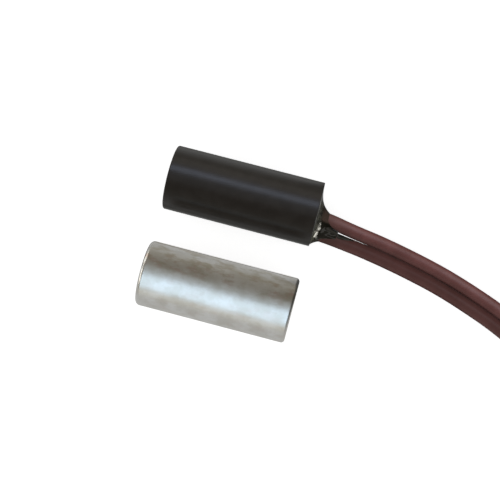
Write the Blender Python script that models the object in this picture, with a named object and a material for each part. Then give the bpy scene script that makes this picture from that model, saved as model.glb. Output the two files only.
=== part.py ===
"""A recessed magnetic contact: a potted reed switch capsule with two leads, and its bare rod magnet.

Metres, +Z up. Both cylinders lie on z = 0 with their axes along X. The switch is at +Y and the magnet
at -Y, the sensing faces look along -X, and the leads leave the switch along +X.
"""

import math

import bmesh
import bpy
from mathutils import Vector

# Switch housing, a thin black moulded cup
HOUSING_DIAMETER = 0.0095
HOUSING_LENGTH = 0.0220
HOUSING_WALL = 0.0005
HOUSING_FRONT_WALL = 0.0010
HOUSING_FRONT_EDGE_RADIUS = 0.00025
HOUSING_RIM_EDGE_RADIUS = 0.00010
BORE_CORNER_RADIUS = 0.0004
MOUTH_DEPTH = 0.0006
MOUTH_LIP = 0.0002

# Rod magnet, which lies beside the switch
MAGNET_DIAMETER = 0.0095
MAGNET_LENGTH = 0.0220
MAGNET_EDGE_RADIUS = 0.00045
SWITCH_TO_MAGNET = 0.0146

# Reed switch: a glass tube with two flattened reeds sealed into its ends
GLASS_DIAMETER = 0.0018
GLASS_LENGTH = 0.0100
GLASS_WALL = 0.0002
GLASS_SEAL_LENGTH = 0.0009
GLASS_DOME_LENGTH = 0.0012
GLASS_NECK_WALL = 0.0002
REED_WIRE_DIAMETER = 0.0005
REED_WIRE_LENGTH = 0.0030
REED_TIP_SETBACK = 0.0010
BLADE_WIDTH = 0.0009
BLADE_THICKNESS = 0.0002
BLADE_OVERLAP = 0.0012
BLADE_SHOULDER = 0.0016
BLADE_TAPER = 0.0010
CONTACT_GAP = 0.0001

# Soldered joints between the reed wires and the leads: along half a joint, and the share of its cover
SOLDER_LENGTH = 0.0014
SOLDER_COVER = 0.00025
SOLDER_TIP_SETBACK = 0.0004
SOLDER_BARREL = ((-1.0, 0.6), (-0.6, 0.92), (0.0, 1.0), (0.6, 0.92), (1.0, 0.6))
CORE_DIAMETER = 0.00076
CORE_END_SETBACK = 0.0003

# Leads: two single PVC wires of one length. Inside the housing both lie in the plane of the reeds
LEAD_DIAMETER = 0.00205
LEAD_STRIPPED_LENGTH = 0.0060
LEAD_A_Y = -0.0002
LEAD_B_Y = -0.0021
LEAD_A_STRIP_SETBACK = 0.0004
LEAD_B_STRIP_SETBACK = 0.0013
STRAIGHT_SHARE = 0.45
BEND_SHARE = 0.72
BEND_ACROSS_SHARE = 0.3

# Potting compound where it shows: the meniscus, the web that sinks between the leads but stays high over
# lead B, and the run of resin that goes on along the flank of lead B. Angles go from +Y towards +Z, and
# the climb grows from lead B's height to lead A's between two shares of the way across, -1 to 1
MENISCUS_HEIGHT_A = 0.00164
MENISCUS_HEIGHT_B = 0.00100
MENISCUS_REACH = 0.0010
MENISCUS_FILM = 0.00012
MENISCUS_SHARES = (0.72, 0.5, 0.34, 0.22, 0.13, 0.06, 0.0)
CLIMB_SHARES = (-0.95, 0.25)
WEB_STEP = 0.0001
WEB_REACH = 0.0034
WEB_TOP_DEPTH = 0.00016
WEB_BOTTOM_DEPTH = 0.00090
WEB_FALL_POWER = 1.5
WEB_RISE = (math.radians(65), math.radians(118))
WEB_FALL = math.radians(13)
WEB_EDGES = (math.radians(170), math.radians(147))
WEB_SHARES = (0.0, 0.12, 0.3, 0.5, 0.75, 1.0)
RUN_START = 0.0036
RUN_REACH = 0.0061
RUN_ANGLE = math.radians(50)
RUN_HALF_WIDTH = 0.00062
RUN_SINK = 0.0003
RUN_END_HALF_WIDTH = 0.000215
RUN_FILM_SHARE = 0.4
RUN_SHARES = (0.0, 0.3, 0.6, 0.85, 1.0)

# Clearances between pieces that touch
FIT_GAP = 0.0001
CORD_GAP = 0.0003

# Round shapes
BODY_SEGMENTS = 64
COIL_SEGMENTS = 48
GLASS_SEGMENTS = 24
CHANNEL_SIDES = 24
WIRE_SIDES = 12
SECTION_POINTS = 16
EDGE_STEPS = 5
BEND_STEPS = 5

# How square a section is: 2 is an ellipse, and a higher one is a flat strip with round edges
ROUND = 2
BARREL = 2.6
PRESSED = 3
FLATTENED = 6

# The middle of the two leads outside the housing: distance past the rear rim, distance from the switch
# axis towards +Y, how far it has sunk from the axis to the floor, and the open gap between the leads
PAIR_ROUTE = [
    (0.0000, -0.00146, 0.00, 0.00042),
    (0.0024, -0.00170, 0.00, 0.00030),
    (0.0048, -0.00202, 0.05, 0.00013),
    (0.0098, -0.00257, 0.31, 0.00005),
    (0.0150, -0.00330, 0.67, 0.00005),
    (0.0200, -0.00430, 0.94, 0.00005),
    (0.0248, -0.00580, 1.00, 0.00005),
    (0.0297, -0.00770, 1.00, 0.00005),
    (0.0340, -0.00990, 1.00, 0.00005),
]

# The coil of spare lead: its centre from the rear rim and the switch axis, and its turns
COIL_CENTRE = (0.0480, -0.0019)
COIL_START_RADIUS = 7.25 * LEAD_DIAMETER
COIL_START_ANGLE = math.radians(-132.0)
COIL_TURNS_IN = 1.85
COIL_TURNS_OUT = 1.414
CLIMB_TURNS = 0.17
COIL_EDGE_RADIUS = 0.0008
TAIL_FLAT = 0.0115
TAIL_FALL = 0.0075
TAIL_END = 0.0022
CORD_STEP = 2.5 * LEAD_DIAMETER
CURVE_STEPS = 24

# Worked out from the sizes above
FRONT_X = -(HOUSING_LENGTH + RUN_REACH) / 2
RIM_X = FRONT_X + HOUSING_LENGTH
SWITCH_Y = SWITCH_TO_MAGNET / 2
MAGNET_Y = -SWITCH_TO_MAGNET / 2
FLAT = math.cos(math.pi / BODY_SEGMENTS)
SWITCH_Z = HOUSING_DIAMETER / 2 * FLAT
MAGNET_Z = MAGNET_DIAMETER / 2 * FLAT
LEAD_RADIUS = LEAD_DIAMETER / 2
CORE_RADIUS = CORE_DIAMETER / 2
WIRE_RADIUS = REED_WIRE_DIAMETER / 2
BORE_RADIUS = HOUSING_DIAMETER / 2 - HOUSING_WALL
MOUTH_RADIUS = HOUSING_DIAMETER / 2 - MOUTH_LIP

# Places along the switch, measured from the front face of the housing
FRONT_TIP = HOUSING_FRONT_WALL + REED_TIP_SETBACK
GLASS_FRONT = FRONT_TIP + REED_WIRE_LENGTH
GLASS_REAR = GLASS_FRONT + GLASS_LENGTH
REAR_TIP = GLASS_REAR + REED_WIRE_LENGTH
LEAD_A_START = REAR_TIP + LEAD_A_STRIP_SETBACK
LEAD_B_START = GLASS_FRONT + LEAD_B_STRIP_SETBACK
REED_Y = LEAD_A_Y + CORE_RADIUS + WIRE_RADIUS + FIT_GAP
PAIR_PITCH = 2 * LEAD_DIAMETER
COIL_OUTER_RADIUS = COIL_START_RADIUS + LEAD_DIAMETER
COIL_INNER_RADIUS = COIL_START_RADIUS - PAIR_PITCH * COIL_TURNS_IN - LEAD_DIAMETER


def clear_scene():
    for old in list(bpy.data.objects):
        bpy.data.objects.remove(old, do_unlink=True)


def material(name, colour, roughness, metallic=0.0, transmission=0.0):
    made = bpy.data.materials.new(name)
    made.use_nodes = True
    shader = made.node_tree.nodes["Principled BSDF"]
    shader.inputs["Base Color"].default_value = (*colour, 1.0)
    shader.inputs["Roughness"].default_value = roughness
    shader.inputs["Metallic"].default_value = metallic
    shader.inputs["Transmission Weight"].default_value = transmission
    made.diffuse_color = (*colour, 1.0)
    return made


def empty(name, place):
    made = bpy.data.objects.new(name, None)
    made.location = place
    made.empty_display_size = 0.002
    bpy.context.scene.collection.objects.link(made)
    return made


def add_object(name, data, look=None, parent=None):
    made = bpy.data.objects.new(name, data)
    bpy.context.scene.collection.objects.link(made)
    if look:
        data.materials.append(look)
    if parent:
        made.parent = parent
    return made


def finish_mesh(bm, name, look, parent):
    """Closes a bmesh into an object, with its faces out and its round stretches smooth."""
    bmesh.ops.recalc_face_normals(bm, faces=bm.faces)
    mesh = bpy.data.meshes.new(name)
    bm.to_mesh(mesh)
    bm.free()
    mesh.shade_smooth()
    mesh.set_sharp_from_angle(angle=math.radians(30))
    return add_object(name, mesh, look, parent)


def arc(centre_x, centre_r, radius, start, end, steps):
    """Points (x, r) of a round edge, from one angle in degrees to another."""
    found = []
    for i in range(steps + 1):
        angle = math.radians(start + (end - start) * i / steps)
        found.append((centre_x + radius * math.cos(angle), centre_r + radius * math.sin(angle)))
    return found


def turned(name, profile, look=None, parent=None, segments=BODY_SEGMENTS, closed=False, axis="X"):
    """A profile of (along, radius) points turned about its axis, with a flat facet lowest."""
    bm = bmesh.new()
    half = math.pi / segments
    points = []
    for along, radius in profile:
        if axis == "X":
            points.append(bm.verts.new((along, radius * math.cos(half), radius * math.sin(half))))
        else:
            points.append(bm.verts.new((radius * math.cos(half), radius * math.sin(half), along)))
    pairs = list(zip(points, points[1:]))
    if closed:
        pairs.append((points[-1], points[0]))
    edges = [bm.edges.new(pair) for pair in pairs]
    bmesh.ops.spin(
        bm,
        geom=points + edges,
        cent=(0, 0, 0),
        axis=(1, 0, 0) if axis == "X" else (0, 0, 1),
        angle=2 * math.pi,
        steps=segments,
        use_merge=True,
    )
    bmesh.ops.remove_doubles(bm, verts=bm.verts, dist=1e-7)
    return finish_mesh(bm, name, look, parent)


def loft(name, rings, look=None, parent=None):
    """A closed solid through rings of as many points each, with flat ends."""
    bm = bmesh.new()
    rows = [[bm.verts.new(point) for point in ring] for ring in rings]
    for near, far in zip(rows, rows[1:]):
        for i in range(len(near)):
            j = (i + 1) % len(near)
            bm.faces.new((near[i], near[j], far[j], far[i]))
    bm.faces.new(reversed(rows[0]))
    bm.faces.new(rows[-1])
    return finish_mesh(bm, name, look, parent)


def section(x, y, z, width, thickness, squareness):
    """A ring across X, round or flattened."""
    ring = []
    for i in range(SECTION_POINTS):
        angle = 2 * math.pi * i / SECTION_POINTS
        across = math.copysign(abs(math.cos(angle)) ** (2 / squareness), math.cos(angle))
        up = math.copysign(abs(math.sin(angle)) ** (2 / squareness), math.sin(angle))
        ring.append((x, y + across * width / 2, z + up * thickness / 2))
    return ring


def smooth_line(points):
    """Close points along a smooth curve through a route's own points."""
    route = [Vector(p) for p in points]
    route = [2 * route[0] - route[1], *route, 2 * route[-1] - route[-2]]
    line = []
    for p0, p1, p2, p3 in zip(route, route[1:], route[2:], route[3:]):
        t1 = math.sqrt((p1 - p0).length)
        t2 = t1 + math.sqrt((p2 - p1).length)
        t3 = t2 + math.sqrt((p3 - p2).length)
        for i in range(CURVE_STEPS):
            t = t1 + (t2 - t1) * i / CURVE_STEPS
            a1 = p0 * ((t1 - t) / t1) + p1 * (t / t1)
            a2 = p1 * ((t2 - t) / (t2 - t1)) + p2 * ((t - t1) / (t2 - t1))
            a3 = p2 * ((t3 - t) / (t3 - t2)) + p3 * ((t - t2) / (t3 - t2))
            b1 = a1 * ((t2 - t) / t2) + a2 * (t / t2)
            b2 = a2 * ((t3 - t) / (t3 - t1)) + a3 * ((t - t1) / (t3 - t1))
            line.append(b1 * ((t2 - t) / (t2 - t1)) + b2 * ((t - t1) / (t2 - t1)))
    line.append(route[-2])
    return line


def spaced(line, step):
    """Points about a step apart along a line of close points."""
    lengths = [0.0]
    for near, far in zip(line, line[1:]):
        lengths.append(lengths[-1] + (far - near).length)
    count = max(2, round(lengths[-1] / step))
    found = []
    k = 0
    for i in range(count + 1):
        wanted = lengths[-1] * i / count
        while k < len(lengths) - 2 and lengths[k + 1] < wanted:
            k += 1
        part = (wanted - lengths[k]) / (lengths[k + 1] - lengths[k])
        found.append(line[k].lerp(line[k + 1], min(part, 1.0)))
    return found


def tube(name, points, radius, sides, look=None, parent=None):
    """A round rod along points that never run straight up."""
    rings = []
    for i, point in enumerate(points):
        ahead = points[min(i + 1, len(points) - 1)] - points[max(i - 1, 0)]
        ahead.normalize()
        side = Vector((0, 0, 1)).cross(ahead).normalized()
        up = ahead.cross(side)
        ring = []
        for j in range(sides):
            angle = 2 * math.pi * (j + 0.5) / sides
            ring.append(point + side * (radius * math.cos(angle)) + up * (radius * math.sin(angle)))
        rings.append(ring)
    return loft(name, rings, look, parent)


def cord(name, points, diameter, look):
    """A plain round cord with closed ends."""
    data = bpy.data.curves.new(name, "CURVE")
    data.dimensions = "3D"
    data.bevel_depth = diameter / 2
    data.bevel_resolution = 2
    data.use_fill_caps = True
    spline = data.splines.new("POLY")
    spline.points.add(len(points) - 1)
    for place, point in zip(spline.points, points):
        place.co = (*point, 1.0)
    return add_object(name, data, look)


def cut(target, cutters):
    for cutter in cutters:
        cutter.hide_render = True
        cutter.display_type = "WIRE"
        modifier = target.modifiers.new(cutter.name, "BOOLEAN")
        modifier.operation = "DIFFERENCE"
        modifier.solver = "EXACT"
        modifier.object = cutter


def switch_housing(switch, look):
    """A cup closed at its sensing face, with a thin bevelled lip round its open rear."""
    outer = HOUSING_DIAMETER / 2
    front_edge = HOUSING_FRONT_EDGE_RADIUS
    rim_edge = HOUSING_RIM_EDGE_RADIUS
    corner = BORE_CORNER_RADIUS
    profile = [(0.0, 0.0)]
    profile += arc(front_edge, outer - front_edge, front_edge, 180, 90, 4)
    profile += arc(HOUSING_LENGTH - rim_edge, outer - rim_edge, rim_edge, 90, 0, 2)
    profile += [(HOUSING_LENGTH, MOUTH_RADIUS), (HOUSING_LENGTH - MOUTH_DEPTH, BORE_RADIUS)]
    profile += arc(HOUSING_FRONT_WALL + corner, BORE_RADIUS - corner, corner, 90, 180, 3)
    profile += [(HOUSING_FRONT_WALL, 0.0)]
    return turned("switch_housing", profile, look, switch)


def magnet_rod(magnet, look):
    outer = MAGNET_DIAMETER / 2
    edge = MAGNET_EDGE_RADIUS
    profile = [(0.0, 0.0)]
    profile += arc(edge, outer - edge, edge, 180, 90, EDGE_STEPS)
    profile += arc(MAGNET_LENGTH - edge, outer - edge, edge, 90, 0, EDGE_STEPS)
    profile += [(MAGNET_LENGTH, 0.0)]
    return turned("magnet", profile, look, magnet)


def glass_envelope(switch, look):
    """The drawn glass tube: both ends close down onto a reed, with a hair's clearance round it."""
    outer = GLASS_DIAMETER / 2
    inner = outer - GLASS_WALL
    hole = WIRE_RADIUS + FIT_GAP
    neck = hole + GLASS_NECK_WALL
    dome = GLASS_DOME_LENGTH
    front = []
    front_bore = []
    for i in range(EDGE_STEPS + 1):
        turn = math.pi / 2 * i / EDGE_STEPS
        along = 1 - math.cos(turn)
        out = math.sin(turn)
        front.append((dome * along, neck + (outer - neck) * out))
        front_bore.append((GLASS_SEAL_LENGTH + dome / 2 * along, hole + (inner - hole) * out))
    outline = [(0.0, hole)] + front
    outline += [(GLASS_LENGTH - x, r) for x, r in reversed(front)]
    outline += [(GLASS_LENGTH, hole)]
    outline += [(GLASS_LENGTH - x, r) for x, r in front_bore]
    outline += list(reversed(front_bore))
    made = turned("glass_envelope", outline, look, switch, GLASS_SEGMENTS, closed=True)
    made.location = (GLASS_FRONT, REED_Y, 0)
    return made


def reed(name, tip, towards, level, switch, look):
    """A round wire that flattens inside the glass into a springy contact blade."""
    seal = tip + towards * REED_WIRE_LENGTH
    shoulder = seal + towards * BLADE_SHOULDER
    flat = shoulder + towards * BLADE_TAPER
    end = (GLASS_FRONT + GLASS_REAR) / 2 + towards * BLADE_OVERLAP / 2
    wire = REED_WIRE_DIAMETER
    half_width = (wire + BLADE_WIDTH) / 2
    half_pressed = (wire + BLADE_THICKNESS) / 2
    height = level * (BLADE_THICKNESS + CONTACT_GAP) / 2
    rings = [
        section(tip, REED_Y, 0, wire, wire, ROUND),
        section(shoulder, REED_Y, 0, wire, wire, ROUND),
        section((shoulder + flat) / 2, REED_Y, height / 2, half_width, half_pressed, PRESSED),
        section(flat, REED_Y, height, BLADE_WIDTH, BLADE_THICKNESS, FLATTENED),
        section(end, REED_Y, height, BLADE_WIDTH, BLADE_THICKNESS, FLATTENED),
    ]
    return loft(name, rings, look, switch)


def joint_middle(tip, towards):
    return tip + towards * (SOLDER_TIP_SETBACK + SOLDER_LENGTH / 2)


def joint_shape(name, middle, swell, switch, look=None):
    """The barrel of solder round a reed wire and the bare core that lies beside it."""
    low = LEAD_A_Y - CORE_RADIUS
    high = REED_Y + WIRE_RADIUS
    y = (low + high) / 2
    rings = []
    for along, share in SOLDER_BARREL:
        cover = FIT_GAP + SOLDER_COVER * share + swell
        x = middle + along * (SOLDER_LENGTH / 2 + swell)
        rings.append(section(x, y, 0, high - low + 2 * cover, CORE_DIAMETER + 2 * cover, BARREL))
    return loft(name, rings, look, switch)


def solder_joint(name, middle, switch, look):
    """The joint, pierced by the reed wire and the core."""
    joint = joint_shape(name, middle, 0.0, switch, look)
    ends = (middle - SOLDER_LENGTH, middle + SOLDER_LENGTH)
    wire_hole = [Vector((x, REED_Y, 0)) for x in ends]
    core_hole = [Vector((x, LEAD_A_Y, 0)) for x in ends]
    cutters = [
        tube(name + "_wire_cutter", wire_hole, WIRE_RADIUS + FIT_GAP, WIRE_SIDES, None, switch),
        tube(name + "_core_cutter", core_hole, CORE_RADIUS + FIT_GAP, WIRE_SIDES, None, switch),
    ]
    cut(joint, cutters)
    return joint


def lead_a_core_points():
    """The bare core of lead A, straight from the rear joint to its insulation."""
    start = REAR_TIP - SOLDER_TIP_SETBACK - SOLDER_LENGTH - CORE_END_SETBACK
    return [Vector((start, LEAD_A_Y, 0)), Vector((LEAD_A_START - FIT_GAP, LEAD_A_Y, 0))]


def lead_b_core_points():
    """The bare core of lead B: straight in the front joint, then two equal bends down to its insulation."""
    start = FRONT_TIP + SOLDER_TIP_SETBACK - CORE_END_SETBACK
    joint_end = FRONT_TIP + SOLDER_TIP_SETBACK + SOLDER_LENGTH
    sleeve = LEAD_B_START - FIT_GAP
    reach = sleeve - joint_end
    drop = LEAD_A_Y - LEAD_B_Y
    bend_radius = (reach**2 + drop**2) / (4 * drop)
    steepest = 2 * math.atan2(drop, reach)
    down = []
    for i in range(BEND_STEPS + 1):
        turn = steepest * i / BEND_STEPS
        down.append((bend_radius * math.sin(turn), bend_radius * (1 - math.cos(turn))))
    level = [(reach - x, drop - y) for x, y in reversed(down[:-1])]
    points = [Vector((start, LEAD_A_Y, 0))]
    points += [Vector((joint_end + x, LEAD_A_Y - y, 0)) for x, y in down + level]
    return points


def pair_point(step, side):
    """A point on one lead, from a step of the pair's route. side is +1 for lead A and -1 for lead B."""
    past_rim, from_axis, sunk, gap = step
    spread = side * (LEAD_DIAMETER + gap) / 2
    return Vector((
        RIM_X + past_rim,
        SWITCH_Y + from_axis + spread,
        SWITCH_Z + sunk * (LEAD_RADIUS - SWITCH_Z),
    ))


def square_pair(side):
    """The pair's route outside the housing for one lead, spread square to the way the pair runs."""
    found = []
    for i, step in enumerate(PAIR_ROUTE):
        before, after = PAIR_ROUTE[max(i - 1, 0)], PAIR_ROUTE[min(i + 1, len(PAIR_ROUTE) - 1)]
        heading = math.atan2(after[1] - before[1], after[0] - before[0])
        middle = (pair_point(step, 1) + pair_point(step, -1)) / 2
        half = (pair_point(step, 1) - pair_point(step, -1)).length / 2
        found.append(middle + side * half * Vector((-math.sin(heading), math.cos(heading), 0)))
    return found


def smooth_step(value):
    value = min(max(value, 0.0), 1.0)
    return value * value * (3 - 2 * value)


def coil_point(turns, side):
    """A point of one lead in the coil. The pair winds in on the floor and out again on top.

    Near the inner end lead A climbs first, the leads change sides, and then lead B climbs.
    """
    if turns <= COIL_TURNS_IN:
        radius = COIL_START_RADIUS - PAIR_PITCH * turns
    else:
        radius = COIL_START_RADIUS - PAIR_PITCH * (2 * COIL_TURNS_IN - turns)
    crossed = smooth_step((turns - COIL_TURNS_IN) / CLIMB_TURNS + 1)
    radius += (2 * crossed - 1) * side * LEAD_RADIUS
    start = COIL_TURNS_IN - 2 * CLIMB_TURNS if side > 0 else COIL_TURNS_IN
    height = LEAD_RADIUS + LEAD_DIAMETER * smooth_step((turns - start) / CLIMB_TURNS)
    angle = COIL_START_ANGLE + 2 * math.pi * turns
    return Vector((
        RIM_X + COIL_CENTRE[0] + radius * math.cos(angle),
        SWITCH_Y + COIL_CENTRE[1] + radius * math.sin(angle),
        height,
    ))


def lead_route(side):
    """One lead from its stripped end in the housing, through the potting, to its first stretch of coil."""
    start, level = (LEAD_A_START, LEAD_A_Y) if side > 0 else (LEAD_B_START, LEAD_B_Y)
    outside = square_pair(side)
    inner = Vector((FRONT_X + start, SWITCH_Y + level, SWITCH_Z))
    route = [inner]
    rim = outside[0]
    reach = rim.x - inner.x
    across = BEND_ACROSS_SHARE * (rim.y - inner.y)
    if side < 0:
        route.append(inner + Vector((STRAIGHT_SHARE * reach, 0, 0)))
    route.append(inner + Vector((BEND_SHARE * reach, across, 0)))
    route += outside
    route += [coil_point(turns, side) for turns in (0.0, 0.05)]
    return route


def from_coil_centre(point):
    return math.hypot(point.x - RIM_X - COIL_CENTRE[0], point.y - SWITCH_Y - COIL_CENTRE[1])


def clear_of_coil(points):
    """Leaves out the points where a cord would touch the coil's solid."""
    nearest = COIL_OUTER_RADIUS + LEAD_RADIUS + CORD_GAP
    return [p for p in points if from_coil_centre(p) >= nearest]


def lead(name, side, look):
    line = clear_of_coil(smooth_line(lead_route(side)))
    return cord(name, spaced(line, CORD_STEP), LEAD_DIAMETER, look)


def tail_line(side):
    """The last stretch of a lead: it leaves the top of the coil, comes down and lies on the floor."""
    turns = COIL_TURNS_IN + COIL_TURNS_OUT
    last = coil_point(turns, side)
    angle = COIL_START_ANGLE + 2 * math.pi * turns + math.pi / 2
    ahead = Vector((math.cos(angle), math.sin(angle), 0))
    inset = last.dot(ahead) - coil_point(turns, 1).dot(ahead)
    found = []
    for share in (0.0, 0.5, 1.0):
        found.append(last + ahead * (share * TAIL_FLAT - inset))
    for share in (0.35, 0.65, 1.0):
        fall = Vector((0, 0, LEAD_DIAMETER * smooth_step(share)))
        found.append(last + ahead * (TAIL_FLAT + share * TAIL_FALL - inset) - fall)
    end = last + ahead * (TAIL_FLAT + TAIL_FALL + TAIL_END - inset)
    found.append(Vector((end.x, end.y, LEAD_RADIUS)))
    return found, ahead


def lead_tail(letter, side, look, core_look):
    route, ahead = tail_line(side)
    line = clear_of_coil(smooth_line(route))
    cord("lead_%s_tail" % letter, spaced(line, CORD_STEP / 3), LEAD_DIAMETER, look)
    start = line[-1] + ahead * CORD_GAP
    ends = [start, start + ahead * LEAD_STRIPPED_LENGTH]
    tube("lead_%s_stripped_end" % letter, ends, CORE_RADIUS, WIRE_SIDES, core_look)


def lead_coil(look):
    """The outer shape of the coil: a flat-bottomed ring two leads high, with round edges."""
    round_edge = COIL_EDGE_RADIUS
    top = 2 * LEAD_DIAMETER
    inner, outer = COIL_INNER_RADIUS, COIL_OUTER_RADIUS
    corners = [
        (outer - round_edge, round_edge, -90, 0),
        (outer - round_edge, top - round_edge, 0, 90),
        (inner + round_edge, top - round_edge, 90, 180),
        (inner + round_edge, round_edge, 180, 270),
    ]
    profile = []
    for radius, height, start, end in corners:
        profile += [(z, r) for r, z in arc(radius, height, round_edge, start, end, 3)]
    made = turned("lead_coil", profile, look, None, COIL_SEGMENTS, closed=True, axis="Z")
    made.location = (RIM_X + COIL_CENTRE[0], SWITCH_Y + COIL_CENTRE[1], 0)
    return made


def lead_at(line, past_rim):
    """Where a lead's centreline is, from the switch axis, at a distance past the rim."""
    for near, far in zip(line, line[1:]):
        if far.x >= RIM_X + past_rim:
            break
    here = near.lerp(far, (RIM_X + past_rim - near.x) / (far.x - near.x))
    return here.y - SWITCH_Y, here.z - SWITCH_Z


def pair_at(lines, past_rim):
    """The middle of the two leads, from the switch axis, and half their spacing."""
    a_y, a_z = lead_at(lines[0], past_rim)
    b_y, b_z = lead_at(lines[1], past_rim)
    return (a_y + b_y) / 2, (a_z + b_z) / 2, (a_y - b_y) / 2


def to_outline(across, up, half, radius):
    """How far it is from the middle of two circles, side by side, to their common outline."""
    if abs(up) > 1e-9 and abs(across) * radius / abs(up) <= half:
        return radius / abs(up)
    return half * abs(across) + math.sqrt(max(radius**2 - (half * up) ** 2, 0.0))


def plug_rings(turns):
    """The resin inside the housing, from its front wall to the edge of its mouth."""
    corner = BORE_CORNER_RADIUS
    front = HOUSING_FRONT_WALL + FIT_GAP
    wall = BORE_RADIUS - FIT_GAP
    plug = arc(front + corner, wall - corner, corner, 180, 90, 3)
    plug += [(HOUSING_LENGTH - MOUTH_DEPTH, wall), (HOUSING_LENGTH, MOUTH_RADIUS - FIT_GAP)]
    return [[(x, r * math.cos(a), r * math.sin(a)) for a in turns] for x, r in plug]


def climb_height(across):
    """How high the resin climbs on the leads: high on the far side of lead A, low on lead B's."""
    low, high = CLIMB_SHARES
    grown = smooth_step((across - low) / (high - low))
    return MENISCUS_HEIGHT_B + grown * (MENISCUS_HEIGHT_A - MENISCUS_HEIGHT_B)


def meniscus_rings(rays, lines, edge):
    """The resin's surface, from the mouth up to the outline of the two leads."""
    _, _, half = pair_at(lines, 0.0)
    rings = []
    for share in MENISCUS_SHARES:
        ring = []
        for across, up, far in rays:
            near = to_outline(across, up, half, edge)
            distance = share * (far - near)
            lowest = math.exp((near - far) / MENISCUS_REACH)
            climb = (math.exp(-distance / MENISCUS_REACH) - lowest) / (1 - lowest)
            rise = climb_height(across) * climb
            middle, level, _ = pair_at(lines, rise)
            out = near + distance
            ring.append((HOUSING_LENGTH + rise, middle + out * across, level + out * up))
        rings.append(ring)
    return rings


def slid_turn(turn, cover_end):
    """An angle on a ring of the web, moved so that the same point of every ring lies on the web's edge."""
    covered = WEB_EDGES[0] - WEB_RISE[1]
    if turn <= WEB_RISE[1]:
        return turn
    if turn <= WEB_EDGES[0]:
        return WEB_RISE[1] + (turn - WEB_RISE[1]) * (cover_end - WEB_RISE[1]) / covered
    return cover_end + (turn - WEB_EDGES[0]) * (2 * math.pi - cover_end) / (2 * math.pi - WEB_EDGES[0])


def web_rings(rays, lines, edge):
    """The web: each ring follows the leads' outline over lead B and sinks into them elsewhere."""
    rings = []
    for share in WEB_SHARES:
        depth = WEB_BOTTOM_DEPTH - (WEB_BOTTOM_DEPTH - WEB_TOP_DEPTH) * (1 - share) ** WEB_FALL_POWER
        cover_end = WEB_EDGES[0] + share * (WEB_EDGES[1] - WEB_EDGES[0])
        ring = []
        for across, up, _ in rays:
            start = climb_height(across) + WEB_STEP
            past = start + share * (WEB_REACH - start)
            middle, level, half = pair_at(lines, past)
            first_turn = math.atan2(up, across) % (2 * math.pi)
            cover = smooth_step((first_turn - WEB_RISE[0]) / (WEB_RISE[1] - WEB_RISE[0]))
            cover *= smooth_step((WEB_EDGES[0] - first_turn) / WEB_FALL)
            turn = slid_turn(first_turn, cover_end)
            y, z = math.cos(turn), math.sin(turn)
            out = to_outline(y, z, half, edge - depth * (1 - cover))
            ring.append((HOUSING_LENGTH + past, middle + out * y, level + out * z))
        rings.append(ring)
    return rings


def run_rings(turns, lines):
    """The run of resin on lead B: a flat oval, half sunk in the lead, that thins out to its end."""
    thinnest = RUN_END_HALF_WIDTH / RUN_HALF_WIDTH
    rings = []
    for share in RUN_SHARES:
        past = RUN_START + share * (RUN_REACH - RUN_START)
        y, z = lead_at(lines[1], past)
        thin = math.sqrt(1 - (1 - thinnest**2) * share**2)
        out = LEAD_RADIUS - RUN_SINK * thin
        height = RUN_SINK * thin + FIT_GAP + MENISCUS_FILM * (RUN_FILM_SHARE + (1 - RUN_FILM_SHARE) * thin)
        ring = []
        for turn in turns:
            rise = height * math.cos(turn - RUN_ANGLE)
            side = RUN_HALF_WIDTH * thin * math.sin(turn - RUN_ANGLE)
            across = y + (out + rise) * math.cos(RUN_ANGLE) - side * math.sin(RUN_ANGLE)
            up = z + (out + rise) * math.sin(RUN_ANGLE) + side * math.cos(RUN_ANGLE)
            ring.append((HOUSING_LENGTH + past, across, up))
        rings.append(ring)
    return rings


def potting_rings(lines):
    """The plug in the housing, the meniscus that climbs the leads, the web between them and the run."""
    turns = [2 * math.pi * (i + 0.5) / BODY_SEGMENTS for i in range(BODY_SEGMENTS)]
    mouth = MOUTH_RADIUS - FIT_GAP
    edge = LEAD_RADIUS + FIT_GAP + MENISCUS_FILM
    middle, level, _ = pair_at(lines, 0.0)
    rays = []
    for angle in turns:
        y, z = mouth * math.cos(angle) - middle, mouth * math.sin(angle) - level
        far = math.hypot(y, z)
        rays.append((y / far, z / far, far))
    return [
        *plug_rings(turns),
        *meniscus_rings(rays, lines, edge),
        *web_rings(rays, lines, edge),
        *run_rings(turns, lines),
    ]


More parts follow.
